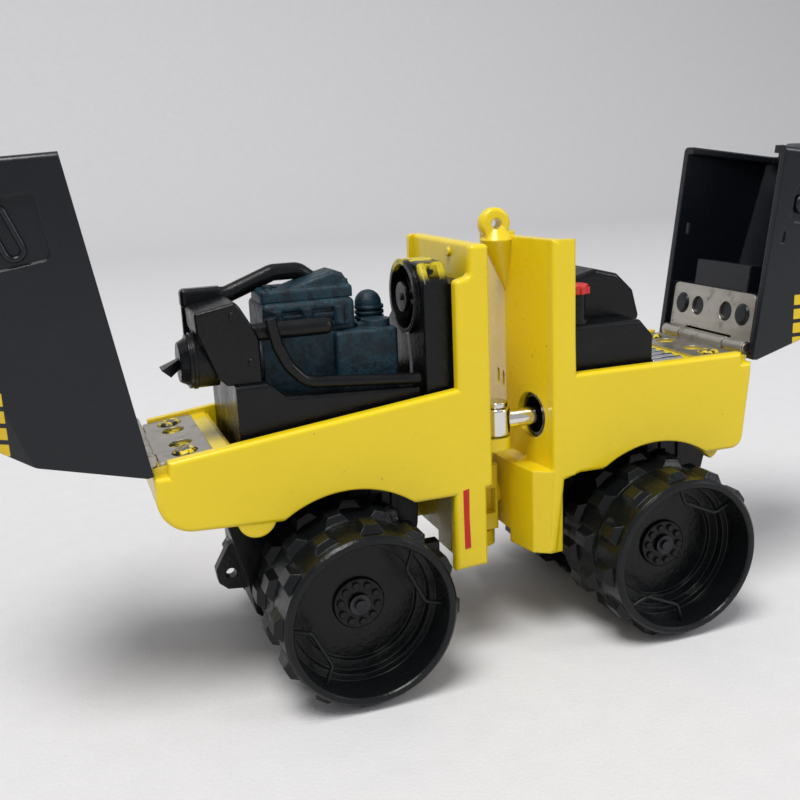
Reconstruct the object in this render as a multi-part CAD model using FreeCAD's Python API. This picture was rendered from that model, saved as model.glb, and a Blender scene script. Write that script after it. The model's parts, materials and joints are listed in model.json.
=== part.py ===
import FreeCAD, Part
import math
import os
from FreeCAD import Vector

# Toy trench roller: two castings joined by a steering joint, each on two padfoot drums.
# Row frame: origin on the ground under the steering axis, X lengthwise (the tank half is at +X,
# the engine half at -X), Z up. The stored pose has both hoods open. All sizes are in millimetres.

# ---------------------------------------------------------------- driving dimensions
AXLE_SPACING = 39.0
RIM_R = 9.6
CLEAT_H = 0.8
DRUM_OUT_Y = 17.0
DRUM_IN_Y = 4.0
BODY_HALF_W = 10.0
PANEL_T = 1.3

ENGINE_END_X = -39.7
TANK_END_X = 33.1
BELLY_Z = 20.4
FLOOR_Z = 24.3
FLOOR_T = 1.0
COLUMN_TOP_Z = 48.2
RIM_Z_ENGINE = 28.7
RIM_Z_TANK = 32.7
ENGINE_RIM_SLOPE = 6.6
SKIRT_Z = 11.0
ARCH_GAP = 2.1

ENGINE_FACE_X = -2.2
ENGINE_COLUMN_X = -6.2
TANK_FACE_X = 4.4
TANK_CORNER_X = 5.8
TANK_COLUMN_X = 8.4

HOOD_WALL = 0.9
HOOD_END_OVERHANG = 1.2
ENGINE_HOOD_LENGTH = 31.4
TANK_HOOD_LENGTH = 24.6
ENGINE_HOOD_HEIGHT = 17.3
TANK_HOOD_HEIGHT = 15.8
HOOD_CREASE_START = 10.0
HOOD_CREASE_RISE = 0.15
HOOD_SHOULDER = 0.75
ENGINE_HOOD_OPEN = 93.0
TANK_HOOD_OPEN = 98.0

AXLE_R = 0.85
STEER_PIN_R = 0.8
TRUNNION_R = 1.6
ROD_R = 1.1
HINGE_PIN_R = 0.32
RUN_CLEAR = 0.06
SIDE_CLEAR = 0.25
RIM_GAP = 0.15

# ---------------------------------------------------------------- derived sizes
AXLE_Z = RIM_R + CLEAT_H
AXLE_X = AXLE_SPACING / 2.0
ARCH_R = AXLE_Z + ARCH_GAP
INNER_HALF_W = BODY_HALF_W - PANEL_T
ENGINE_PIVOT = Vector(ENGINE_END_X - 0.2, 0, RIM_Z_ENGINE)
TANK_PIVOT = Vector(TANK_END_X + 0.2, 0, RIM_Z_TANK)
ENGINE_SLOPE = math.radians(ENGINE_RIM_SLOPE)

os.makedirs("parts", exist_ok=True)


# ---------------------------------------------------------------- shape helpers
def box(x0, x1, y0, y1, z0, z1):
    return Part.makeBox(x1 - x0, y1 - y0, z1 - z0, Vector(x0, y0, z0))


def cyl(radius, start, direction, length):
    return Part.makeCylinder(radius, length, Vector(*start), Vector(*direction))


def prism_xz(points, y0, y1):
    ring = [Vector(x, y0, z) for x, z in points]
    return Part.Face(Part.makePolygon(ring + ring[:1])).extrude(Vector(0, y1 - y0, 0))


def prism_xy(points, z0, z1):
    ring = [Vector(x, y, z0) for x, y in points]
    return Part.Face(Part.makePolygon(ring + ring[:1])).extrude(Vector(0, 0, z1 - z0))


def prism_yz(points, x0, x1):
    ring = [Vector(x0, y, z) for y, z in points]
    return Part.Face(Part.makePolygon(ring + ring[:1])).extrude(Vector(x1 - x0, 0, 0))


def fuse(shapes):
    return shapes[0].multiFuse(shapes[1:]).removeSplitter()


def cut(shape, tools):
    for tool in tools:
        shape = shape.cut(tool)
    return shape


def mirror_y(shape):
    return shape.mirror(Vector(0, 0, 0), Vector(0, 1, 0))


def both_sides(shape):
    return [shape, mirror_y(shape)]


def fillet(shape, radius, wanted):
    edges = [edge for edge in shape.Edges if wanted(edge)]
    return shape.makeFillet(radius, edges)


def along(edge, direction, tolerance=0.02):
    first = edge.Vertexes[0].Point
    last = edge.Vertexes[-1].Point
    run = last - first
    if run.Length < 1e-6 or edge.Curve.TypeId != "Part::GeomLine":
        return False
    return abs(abs(run.normalize().dot(Vector(*direction))) - 1.0) < tolerance


def tube(points, radius, bend):
    """A round bar along straight runs joined by tangent arcs of the radius bend."""
    corners = [Vector(*point) for point in points]
    edges = []
    here = corners[0]
    for before, corner, after in zip(corners, corners[1:], corners[2:]):
        into = (corner - before).normalize()
        out = (after - corner).normalize()
        turn = math.acos(max(-1.0, min(1.0, into.dot(out))))
        reach = bend * math.tan(turn / 2.0)
        start = corner - into * reach
        end = corner + out * reach
        bisector = (out - into).normalize()
        middle = corner + bisector * (bend / math.cos(turn / 2.0) - bend)
        edges.append(Part.makeLine(here, start))
        edges.append(Part.Arc(start, middle, end).toShape())
        here = end
    edges.append(Part.makeLine(here, corners[-1]))
    path = Part.Wire(edges)
    ring = Part.Wire(Part.makeCircle(radius, corners[0], corners[1] - corners[0]))
    return path.makePipeShell([ring], True, True)


def ring_y(outer, inner, x, z, y0, y1):
    return cyl(outer, (x, y0, z), (0, 1, 0), y1 - y0).cut(cyl(inner, (x, y0 - 1, z), (0, 1, 0), y1 - y0 + 2))


def save(name, shape):
    solids = shape.Solids
    if not solids or not shape.isValid():
        raise RuntimeError("bad solid: " + name)
    result = solids[0] if len(solids) == 1 else Part.makeCompound(solids)
    result.exportStep("parts/" + name + ".step")
    print(name, len(solids), round(shape.Volume, 2))


# ---------------------------------------------------------------- places along the hood rims
def engine_rim(u, v):
    """Row frame (x, z) of a point u along the closed engine hood's rim and v above it."""
    c = math.cos(ENGINE_SLOPE)
    s = math.sin(ENGINE_SLOPE)
    return (ENGINE_PIVOT.x + u * c - v * s, ENGINE_PIVOT.z + u * s + v * c)


def tank_rim(u, v):
    return (TANK_PIVOT.x - u, TANK_PIVOT.z + v)


def place_engine(shape, turn):
    moved = shape.copy()
    moved.rotate(Vector(0, 0, 0), Vector(0, -1, 0), turn)
    moved.translate(ENGINE_PIVOT)
    return moved


def place_tank(shape, turn):
    moved = shape.mirror(Vector(0, 0, 0), Vector(1, 0, 0))
    moved.rotate(Vector(0, 0, 0), Vector(0, 1, 0), turn)
    moved.translate(TANK_PIVOT)
    return moved


# ---------------------------------------------------------------- hinges, in the rim's own frame
LEAF_T = 0.35
KNUCKLE_R = 0.8
LEAF_LENGTH = 6.6
LEAF_HALF_W = INNER_HALF_W - 0.35
HOLE_R = 1.25
HOLE_Y = 2.9
HOLE_U = 3.9
STAKE_Y = 6.2
STAKE_R = 1.0
STAKE_HEAD_R = 1.4
STAKE_HEAD_H = 0.3
LEDGE_V = -KNUCKLE_R
ENGINE_LEDGE_LENGTH = 8.4
TANK_LEDGE_LENGTH = 7.6
LEDGE_T = 1.0
KNUCKLE_ENDS = 4.6
NOTCH_U = 1.7
NOTCH_V = -1.5


def knuckle(y0, y1):
    return cyl(KNUCKLE_R, (0, y0, 0), (0, 1, 0), y1 - y0)


def hinge_leaf(v0, spans):
    """A stamped leaf with its rolled knuckles: v0 is the leaf's lower face."""
    leaf = box(KNUCKLE_R * 0.4, LEAF_LENGTH, -LEAF_HALF_W, LEAF_HALF_W, v0, v0 + LEAF_T)
    leaf = fillet(leaf, 0.8, lambda edge: along(edge, (0, 0, 1)) and edge.CenterOfMass.x > LEAF_LENGTH - 0.1)
    pieces = [leaf]
    for y0, y1 in spans:
        pieces.append(knuckle(y0, y1))
        low = min(v0, 0)
        high = max(v0 + LEAF_T, 0)
        pieces.append(box(0, KNUCKLE_R * 0.8, y0, y1, low, high))
    leaf = fuse(pieces)
    reliefs = []
    edges = sorted([y for span in spans for y in span])
    gaps = [(-LEAF_HALF_W - 1, edges[0])] + list(zip(edges[1:-1:2], edges[2:-1:2]))
    gaps.append((edges[-1], LEAF_HALF_W + 1))
    for y0, y1 in gaps:
        if y1 - y0 > 0.1:
            reliefs.append(box(-2, KNUCKLE_R + 0.2, y0, y1, -2, 2))
    reliefs.append(cyl(HINGE_PIN_R + RUN_CLEAR, (0, -20, 0), (0, 1, 0), 40))
    for y in (-HOLE_Y, HOLE_Y):
        reliefs.append(cyl(HOLE_R, (HOLE_U, y, -3), (0, 0, 1), 6))
    for y in (-STAKE_Y, STAKE_Y):
        reliefs.append(cyl(STAKE_R, (HOLE_U, y, -3), (0, 0, 1), 6))
    return cut(leaf, reliefs)


def body_leaf():
    return hinge_leaf(LEDGE_V, [(-KNUCKLE_ENDS + 0.1, KNUCKLE_ENDS - 0.1)])


def hood_leaf():
    ends = LEAF_HALF_W
    return hinge_leaf(KNUCKLE_R - LEAF_T, [(-ends, -KNUCKLE_ENDS - 0.1), (KNUCKLE_ENDS + 0.1, ends)])


def hinge_pin():
    pin = cyl(HINGE_PIN_R, (0, -LEAF_HALF_W, 0), (0, 1, 0), 2 * LEAF_HALF_W)
    heads = [cyl(KNUCKLE_R * 0.75, (0, y, 0), (0, 1, 0), 0.2) for y in (-LEAF_HALF_W - 0.2, LEAF_HALF_W)]
    return fuse([pin] + heads)


def stakes(leaf_face, head_side):
    """Peened studs that stand from leaf_face through a leaf: head_side is +1 up or -1 down."""
    studs = []
    for y in (-STAKE_Y, STAKE_Y):
        stud = cyl(STAKE_R, (HOLE_U, y, leaf_face), (0, 0, head_side), LEAF_T)
        head = Part.makeCone(STAKE_HEAD_R, STAKE_R, STAKE_HEAD_H,
                             Vector(HOLE_U, y, leaf_face + head_side * LEAF_T), Vector(0, 0, head_side))
        studs += [stud, head]
    return studs


# ---------------------------------------------------------------- castings
EDGE_ROUND = 0.5
END_CORNER_R = 3.8
END_WALL_T = 1.0


def corner_at(edge, x, z):
    middle = edge.CenterOfMass
    return along(edge, (0, 1, 0)) and abs(middle.x - x) + abs(middle.z - z) < 0.05


def across_above(edge, z):
    return along(edge, (0, 1, 0)) and edge.CenterOfMass.z > z


def engine_panel(y0, y1):
    rim_at_column = RIM_Z_ENGINE + (ENGINE_COLUMN_X - ENGINE_PIVOT.x) * math.tan(ENGINE_SLOPE) - RIM_GAP
    outline = [
        engine_rim(NOTCH_U, -RIM_GAP),
        (ENGINE_COLUMN_X, rim_at_column),
        (ENGINE_COLUMN_X, COLUMN_TOP_Z - 3.8),
        (ENGINE_COLUMN_X + 1.7, COLUMN_TOP_Z - 3.3),
        (ENGINE_COLUMN_X + 1.8, COLUMN_TOP_Z),
        (ENGINE_FACE_X, COLUMN_TOP_Z),
        (ENGINE_FACE_X, BELLY_Z + 0.3),
        (ENGINE_FACE_X - 0.8, BELLY_Z + 0.1),
        (ENGINE_FACE_X - 0.8, SKIRT_Z + 0.2),
        (ENGINE_COLUMN_X - 0.8, SKIRT_Z),
        (ENGINE_COLUMN_X - 0.8, BELLY_Z - 0.3),
        (-AXLE_X, BELLY_Z - 0.3),
        (ENGINE_END_X, BELLY_Z + 0.7),
        (ENGINE_END_X, engine_rim(0, NOTCH_V)[1]),
        (engine_rim(NOTCH_U, 0)[0], engine_rim(0, NOTCH_V)[1]),
    ]
    panel = prism_xz(outline, y0, y1)
    panel = fillet(panel, END_CORNER_R, lambda edge: corner_at(edge, ENGINE_END_X, BELLY_Z + 0.7))
    return fillet(panel, 0.5, lambda edge: across_above(edge, COLUMN_TOP_Z - 4.0))


def engine_side():
    side = engine_panel(INNER_HALF_W, BODY_HALF_W)
    side = fillet(side, EDGE_ROUND, lambda edge: edge.CenterOfMass.y > BODY_HALF_W - 0.01)
    lobe = cyl(2.1, (-AXLE_X - 10.1, INNER_HALF_W, BELLY_Z + 0.9), (0, 1, 0), PANEL_T - 0.15)
    return side.fuse(lobe)


def tank_panel(y0, y1):
    outline = [
        tank_rim(NOTCH_U, -RIM_GAP),
        (TANK_COLUMN_X + 0.3, RIM_Z_TANK - RIM_GAP),
        (TANK_COLUMN_X, COLUMN_TOP_Z - 0.2),
        (TANK_CORNER_X - 0.2, COLUMN_TOP_Z - 0.2),
        (TANK_CORNER_X - 0.2, BELLY_Z),
        (TANK_CORNER_X - 0.9, SKIRT_Z),
        (TANK_CORNER_X + 0.3, SKIRT_Z),
        (TANK_CORNER_X + 1.3, BELLY_Z - 0.5),
        (TANK_CORNER_X + 3.4, BELLY_Z + 0.1),
        (AXLE_X, BELLY_Z),
        (TANK_END_X - 1.0, BELLY_Z),
        (TANK_END_X, RIM_Z_TANK - 3.0),
        (TANK_END_X, RIM_Z_TANK + NOTCH_V),
        (tank_rim(NOTCH_U, 0)[0], RIM_Z_TANK + NOTCH_V),
    ]
    panel = prism_xz(outline, y0, y1)
    return fillet(panel, 1.6, lambda edge: corner_at(edge, TANK_END_X - 1.0, BELLY_Z))


def tank_side():
    side = tank_panel(INNER_HALF_W, BODY_HALF_W)
    return fillet(side, EDGE_ROUND, lambda edge: edge.CenterOfMass.y > BODY_HALF_W - 0.01)


def end_wall(panel, inward, top_z):
    """A panel's end carried across between the panels, END_WALL_T thick around its lower corner."""
    whole = panel(-INNER_HALF_W, INNER_HALF_W)
    hollow = panel(-INNER_HALF_W - 1, INNER_HALF_W + 1)
    hollow.translate(Vector(inward * END_WALL_T, 0, END_WALL_T))
    end_x = ENGINE_END_X if inward > 0 else TANK_END_X
    reach = sorted([end_x - inward, end_x + inward * 5.0])
    return whole.cut(hollow).common(box(reach[0], reach[1], -20, 20, 0, top_z))


def arch(x):
    return cyl(ARCH_R, (x, -BODY_HALF_W - 1, AXLE_Z), (0, 1, 0), 2 * BODY_HALF_W + 2)


def ledge(rim, panel, inward, length):
    """The hinge shelf between the side panels, parallel to the closed rim, with its riser and end wall."""
    outline = [rim(0.2, LEDGE_V), rim(length, LEDGE_V), rim(length, LEDGE_V - LEDGE_T),
               rim(0.2, LEDGE_V - LEDGE_T)]
    shelf = prism_xz(outline, -INNER_HALF_W, INNER_HALF_W)
    lip_x = rim(length, 0)[0]
    riser = box(lip_x - 0.5, lip_x + 0.5, -INNER_HALF_W, INNER_HALF_W,
                FLOOR_Z - 0.5, rim(length, LEDGE_V - 0.3)[1])
    return [shelf, riser, end_wall(panel, inward, rim(0.7, LEDGE_V - 0.1)[1])]


ROD_PIN_X = 0.3
ROD_PIN_Y = -5.5
ROD_Z = 27.05
EYE_R = 1.7
EYE_H = 3.3
LUG_T = 1.5
BARREL_Y = ROD_PIN_Y + 0.3
BARREL_R = 2.65
BARREL_BORE_R = 2.2
BARREL_X = 5.5
BARREL_LENGTH = 7.6
PORT_R = 2.75
JOINT_LUG_R = 2.2
BLOCK_LOW_Z = 12.2
BLOCK_HIGH_Z = 20.5
LUG_GAP = 0.3
LOW_LUG_T = 2.0
HIGH_LUG_T = 1.8
TRUNNION_Z = 16.3
SKIRT_FACE_X = 2.6


def joint_lug(z0, z1):
    plate = box(ENGINE_FACE_X - 1.2, 0, -JOINT_LUG_R, JOINT_LUG_R, z0, z1)
    return fuse([plate, cyl(JOINT_LUG_R, (0, 0, z0), (0, 0, 1), z1 - z0)])


def engine_frame():
    wide = INNER_HALF_W
    bulkhead = box(ENGINE_FACE_X - 1.6, ENGINE_FACE_X, -wide, wide, BELLY_Z + 0.2, COLUMN_TOP_Z)
    bulkhead = fillet(bulkhead, 0.5, lambda edge: across_above(edge, COLUMN_TOP_Z - 0.1))
    cross = box(ENGINE_FACE_X - 2.2, ENGINE_FACE_X - 1.0, -wide, wide, SKIRT_Z + 0.4, BELLY_Z + 1)
    floor = box(ENGINE_END_X + 0.5, ENGINE_FACE_X - 1, -wide, wide, FLOOR_Z - FLOOR_T, FLOOR_Z)
    low_lug = joint_lug(BLOCK_LOW_Z - LUG_GAP - LOW_LUG_T, BLOCK_LOW_Z - LUG_GAP)
    high_lug = joint_lug(BLOCK_HIGH_Z + LUG_GAP, BLOCK_HIGH_Z + LUG_GAP + HIGH_LUG_T)
    low_web = box(ENGINE_FACE_X - 2.2, ENGINE_FACE_X - 1.0, -JOINT_LUG_R, JOINT_LUG_R,
                  BLOCK_LOW_Z - LUG_GAP - LOW_LUG_T, SKIRT_Z + 1)
    lug_low_z = ROD_Z - EYE_H / 2 - 0.2 - LUG_T
    rod_lug = fuse([
        box(ENGINE_FACE_X - 0.5, ROD_PIN_X, ROD_PIN_Y - 1.7, ROD_PIN_Y + 1.7, lug_low_z, lug_low_z + LUG_T),
        cyl(1.7, (ROD_PIN_X, ROD_PIN_Y, lug_low_z), (0, 0, 1), LUG_T),
        box(ENGINE_FACE_X - 0.5, ROD_PIN_X - EYE_R - 0.25, ROD_PIN_Y - 1.7, ROD_PIN_Y + 1.7,
            lug_low_z, ROD_Z + 2.6),
    ])
    dimple = cyl(0.5, (ENGINE_FACE_X - 1.9, -2.6, COLUMN_TOP_Z - 1.3), (1, 0, 0), 0.6)
    saddle = box(ENGINE_COLUMN_X, ENGINE_FACE_X - 1, -wide, wide, FLOOR_Z - 0.2, FLOOR_Z + 3.4)
    casting = fuse(both_sides(engine_side()) + ledge(engine_rim, engine_panel, 1.0, ENGINE_LEDGE_LENGTH)
                   + [bulkhead, cross, floor, low_lug, high_lug, low_web, rod_lug, dimple, saddle])
    casting = cut(casting, [
        arch(-AXLE_X),
        cyl(STEER_PIN_R, (0, 0, 0), (0, 0, 1), 30),
        cyl(STEER_PIN_R, (ROD_PIN_X, ROD_PIN_Y, lug_low_z - 1), (0, 0, 1), 4),
    ])
    studs = [place_engine(stud, ENGINE_RIM_SLOPE) for stud in stakes(LEDGE_V, 1)]
    return fuse([casting] + studs)


EYE_X = 3.1
EYE_Z = COLUMN_TOP_Z + 1.3
LIFT_EYE_R = 1.9
LIFT_HOLE_R = 0.65
LIFT_EYE_T = 1.7


def lifting_eye():
    ring = cyl(LIFT_EYE_R, (EYE_X, -LIFT_EYE_T / 2, EYE_Z), (0, 1, 0), LIFT_EYE_T)
    ring = ring.makeFillet(0.5, [edge for edge in ring.Edges if edge.Curve.TypeId == "Part::GeomCircle"])
    top = Part.Wire(Part.makeCircle(2.0, Vector(EYE_X + 0.3, 0, COLUMN_TOP_Z - 0.6)))
    foot = Part.Wire(Part.makeCircle(0.3, Vector(TANK_FACE_X + 0.3, 0, COLUMN_TOP_Z - 6.8)))
    gusset = Part.makeLoft([foot, top], True, True)
    crown = Part.makeCone(2.0, 0.9, 1.7, Vector(EYE_X + 0.3, 0, COLUMN_TOP_Z - 0.6), Vector(0, 0, 1))
    neck = box(EYE_X - 1.4, TANK_FACE_X + 1.0, -LIFT_EYE_T / 2, LIFT_EYE_T / 2,
               COLUMN_TOP_Z - 1.5, COLUMN_TOP_Z + 0.4)
    return [ring, gusset, crown, neck]


def upright_at(edge, x):
    return along(edge, (0, 0, 1)) and abs(edge.CenterOfMass.x - x) < 0.01


def vee(face_x, corner_x, half_w, back_x):
    return [(back_x, -half_w), (corner_x, -half_w), (face_x, 0), (corner_x, half_w), (back_x, half_w)]


def tank_frame():
    wall = 1.4
    front = prism_xy(vee(TANK_FACE_X, TANK_CORNER_X, BODY_HALF_W, TANK_COLUMN_X), BELLY_Z, COLUMN_TOP_Z - 0.2)
    front = fillet(front, 1.0, lambda edge: upright_at(edge, TANK_CORNER_X))
    pocket = prism_xy(vee(TANK_FACE_X + wall, TANK_CORNER_X + wall, INNER_HALF_W, TANK_COLUMN_X + 2),
                      FLOOR_Z, COLUMN_TOP_Z + 1)
    skirt_plan = [
        (TANK_CORNER_X + 1.0, -BODY_HALF_W + 0.2), (TANK_CORNER_X - 0.6, -BODY_HALF_W + 0.1),
        (SKIRT_FACE_X + 0.8, -BODY_HALF_W + 1.3), (SKIRT_FACE_X, -4.4), (SKIRT_FACE_X, 4.4),
        (SKIRT_FACE_X + 0.8, BODY_HALF_W - 1.3), (TANK_CORNER_X - 0.6, BODY_HALF_W - 0.1),
        (TANK_CORNER_X + 1.0, BODY_HALF_W - 0.2),
    ]
    skirt = prism_xy(skirt_plan, SKIRT_Z, BELLY_Z + 0.8)
    skirt_back = prism_xy([(SKIRT_FACE_X + 1.4, -INNER_HALF_W + 1), (TANK_CORNER_X + 3, -INNER_HALF_W + 1),
                           (TANK_CORNER_X + 3, INNER_HALF_W - 1), (SKIRT_FACE_X + 1.4, INNER_HALF_W - 1)],
                          SKIRT_Z - 1, BELLY_Z - 0.2)
    skirt = skirt.cut(skirt_back).cut(box(0, SKIRT_FACE_X + 2, -4.2, 4.2, SKIRT_Z - 1, SKIRT_Z + 1.6))
    boss = cyl(2.7, (SKIRT_FACE_X, 0, TRUNNION_Z), (1, 0, 0), 2.6)
    floor = box(TANK_CORNER_X, TANK_END_X - 0.5, -INNER_HALF_W, INNER_HALF_W, FLOOR_Z - FLOOR_T, FLOOR_Z)
    web = prism_xz([(SKIRT_FACE_X + 0.2, BELLY_Z - 0.1), (TANK_CORNER_X + 1.2, BELLY_Z - 0.1),
                    (TANK_CORNER_X + 1.2, BELLY_Z + 1.4), (TANK_FACE_X + 0.2, BELLY_Z + 1.4)], -4.4, 4.4)
    lobes = [cyl(2.0, (AXLE_X + 8.2, y, BELLY_Z + 0.6), (0, 1, 0), 1.4) for y in (-8.6, 7.2)]
    hangers = [box(AXLE_X + 6.4, AXLE_X + 10.0, y, y + 1.4, BELLY_Z + 0.6, FLOOR_Z - 0.2)
               for y in (-8.6, 7.2)]
    cradle = box(BARREL_X + 2.5, BARREL_X + BARREL_LENGTH - 0.6, BARREL_Y - 1.6, BARREL_Y + 1.6,
                 FLOOR_Z - 0.2, ROD_Z - BARREL_R * 0.8)
    studs = [place_tank(stud, 0) for stud in stakes(LEDGE_V, 1)]
    casting = fuse([front.cut(pocket)] + both_sides(tank_side())
                   + ledge(tank_rim, tank_panel, -1.0, TANK_LEDGE_LENGTH)
                   + [skirt, boss, floor, web, cradle] + lobes + hangers + studs + lifting_eye())
    recesses = []
    for y in (1.0, 3.0):
        slot = fuse([box(0, TANK_FACE_X + 0.7, y - 0.4, y + 0.4, 29.7, 30.9),
                     cyl(0.4, (0, y, 29.7), (1, 0, 0), TANK_FACE_X + 0.7),
                     cyl(0.4, (0, y, 30.9), (1, 0, 0), TANK_FACE_X + 0.7)])
        recesses.append(slot)
    return cut(casting, [
        arch(AXLE_X),
        cyl(PORT_R, (0, BARREL_Y, ROD_Z), (1, 0, 0), TANK_COLUMN_X),
        cyl(TRUNNION_R + RUN_CLEAR, (0, 0, TRUNNION_Z), (1, 0, 0), 8),
        cyl(LIFT_HOLE_R, (EYE_X, -3, EYE_Z), (0, 1, 0), 6),
        box(TANK_END_X - 6, TANK_END_X + 1, -HOUSING_HALF_W - 2.4, HOUSING_HALF_W + 2.4,
            15, FLOOR_Z - FLOOR_T),
        cyl(BARREL_R + 0.02, (BARREL_X, BARREL_Y, ROD_Z), (1, 0, 0), BARREL_LENGTH + 0.02),
    ] + recesses)


# ---------------------------------------------------------------- drive housings
HOUSING_HALF_W = 3.1
HOUSING_INNER_X = ENGINE_COLUMN_X - 2.3
TIE_HOLE_R = 0.6
TIE_X = AXLE_X + 11.9
TIE_Z = 11.8


def drive_housing():
    """The engine half's housing; the tank half's is its mirror image."""
    outline = [
        (-AXLE_X - 13.0, FLOOR_Z - FLOOR_T), (-AXLE_X - 12.4, 19.0), (-AXLE_X - 10.6, 12.0),
        (-AXLE_X - 9.8, 7.4), (-AXLE_X - 8.6, 6.2), (HOUSING_INNER_X - 4.5, 6.2),
        (HOUSING_INNER_X - 1.8, 10.0),
        (HOUSING_INNER_X - 0.6, 15.0), (HOUSING_INNER_X, FLOOR_Z - FLOOR_T),
    ]
    body = prism_xz(outline, -HOUSING_HALF_W, HOUSING_HALF_W)
    flange_low_z = FLOOR_Z - FLOOR_T - 0.8
    body = fillet(body, 0.5, lambda edge: along(edge, (0, 1, 0)) and edge.CenterOfMass.z < flange_low_z)
    side_cut = box(-AXLE_X - 6, -AXLE_X + 6, HOUSING_HALF_W - 0.9, HOUSING_HALF_W + 1, 15.5, 19.5)
    plate = prism_xz([(-AXLE_X - 10.0, 16.2), (-AXLE_X - 12.0, 15.2), (-AXLE_X - 13.6, 12.4),
                      (-AXLE_X - 13.4, 10.8), (-AXLE_X - 12.4, 9.9), (-AXLE_X - 9.6, 9.6)], -0.7, 0.7)
    plate = fillet(plate, 0.35, lambda edge: along(edge, (0, 1, 0)) and edge.CenterOfMass.x < -AXLE_X - 12.7)
    rib_half_w = HOUSING_HALF_W + 0.3
    ribs = []
    for step in range(7):
        rib_x = -AXLE_X - 8.5 + step * 2.6
        ribs.append(box(rib_x, rib_x + 0.8, -rib_half_w, rib_half_w, 17.0, FLOOR_Z - FLOOR_T - 0.1))
    flange = box(-AXLE_X - 13.4, HOUSING_INNER_X - 0.1, -HOUSING_HALF_W - 2.2, HOUSING_HALF_W + 2.2,
                 FLOOR_Z - FLOOR_T - 0.8, FLOOR_Z - FLOOR_T)
    spacers = [cyl(2.4, (-AXLE_X, y, AXLE_Z), (0, 1, 0), DRUM_IN_Y - HOUSING_HALF_W - SIDE_CLEAR + 0.1)
               for y in (HOUSING_HALF_W - 0.1, -DRUM_IN_Y + SIDE_CLEAR)]
    clip = fuse([box(HOUSING_INNER_X - 2.0, HOUSING_INNER_X + 3.0, -0.8, 0.8, 10.2, 11.2),
                 box(HOUSING_INNER_X + 2.2, HOUSING_INNER_X + 3.0, -0.8, 0.8, 9.0, 11.2)])
    housing = fuse([body, plate, flange, clip] + ribs + spacers)
    return cut(housing, [side_cut, mirror_y(side_cut),
                         cyl(AXLE_R, (-AXLE_X, -10, AXLE_Z), (0, 1, 0), 20),
                         cyl(TIE_HOLE_R, (-TIE_X, -3, TIE_Z), (0, 1, 0), 6)])


def housing_screws():
    screws = []
    for x in (-AXLE_X - 12.2, HOUSING_INNER_X - 1.1):
        for y in (-HOUSING_HALF_W - 1.2, HOUSING_HALF_W + 1.2):
            z = FLOOR_Z - FLOOR_T - 0.8
            head = cyl(0.8, (x, y, z - 0.6), (0, 0, 1), 0.6)
            slot = box(x - 1, x + 1, y - 0.12, y + 0.12, z - 0.7, z - 0.35)
            screws.append(head.cut(slot))
    return Part.makeCompound(screws)


def mirror_x(shape):
    return shape.mirror(Vector(0, 0, 0), Vector(1, 0, 0))


# ---------------------------------------------------------------- drums
WEB_Y = DRUM_OUT_Y - 5.6
WEB_T = 1.0
RIM_T = 1.0
SEAM_Y = DRUM_OUT_Y - 5.2
HUB_R = 2.95
HUB_T = 0.45
HUB_BOLTS = 10
CLEATS_PER_ROW = 12
CLEAT_BASE = (1.7, 1.5)
CLEAT_TOP = (1.15, 0.75)
LOOP_BAR_R = 0.24


def cleat(angle, y):
    """One padfoot: a frustum with half sizes CLEAT_BASE across (Y, tangent), sunk a little in the shell."""
    rings = []
    for radius, half in ((RIM_R - 0.3, CLEAT_BASE), (AXLE_Z, CLEAT_TOP)):
        corners = [Vector(sx * half[1], y + sy * half[0], radius)
                   for sx, sy in ((-1, -1), (1, -1), (1, 1), (-1, 1))]
        rings.append(Part.makePolygon(corners + corners[:1]))
    pad = Part.makeLoft(rings, True, True)
    pad.rotate(Vector(0, 0, 0), Vector(0, 1, 0), angle)
    return pad


def drum():
    """A drum on the +Y side with its axis on Y; the outer face is open, the web carries the hub."""
    outline = [
        (AXLE_R + RUN_CLEAR, DRUM_IN_Y), (2.4, DRUM_IN_Y), (2.8, WEB_Y - WEB_T),
        (RIM_R - RIM_T, WEB_Y - WEB_T), (RIM_R - RIM_T, DRUM_IN_Y), (RIM_R, DRUM_IN_Y),
        (RIM_R, SEAM_Y - 0.15), (RIM_R - 0.25, SEAM_Y - 0.15),
        (RIM_R - 0.25, SEAM_Y + 0.15), (RIM_R, SEAM_Y + 0.15), (RIM_R, DRUM_OUT_Y - 0.3),
        (RIM_R - 0.3, DRUM_OUT_Y), (RIM_R - RIM_T + 0.15, DRUM_OUT_Y), (RIM_R - RIM_T, DRUM_OUT_Y - 0.2),
        (RIM_R - RIM_T, WEB_Y + 1.6), (RIM_R - RIM_T - 0.7, WEB_Y + 1.5), (RIM_R - RIM_T - 0.8, WEB_Y + 0.6),
        (RIM_R - RIM_T - 1.9, WEB_Y + 0.5), (RIM_R - RIM_T - 2.0, WEB_Y), (AXLE_R + RUN_CLEAR, WEB_Y),
    ]
    ring = [Vector(radius, y, 0) for radius, y in outline]
    shell = Part.Face(Part.makePolygon(ring + ring[:1])).revolve(Vector(0, 0, 0), Vector(0, 1, 0), 360)
    outer_row = (DRUM_OUT_Y + SEAM_Y) / 2.0 - 0.1
    inner_step = (SEAM_Y - DRUM_IN_Y) / 2.0
    rows = [outer_row, SEAM_Y - inner_step * 0.5 - 0.1, SEAM_Y - inner_step * 1.5 + 0.1]
    pads = []
    for row, y in enumerate(rows):
        for step in range(CLEATS_PER_ROW):
            pads.append(cleat((step + 0.5 * (row % 2)) * 360.0 / CLEATS_PER_ROW, y))
    return shell.multiFuse(pads)


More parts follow.
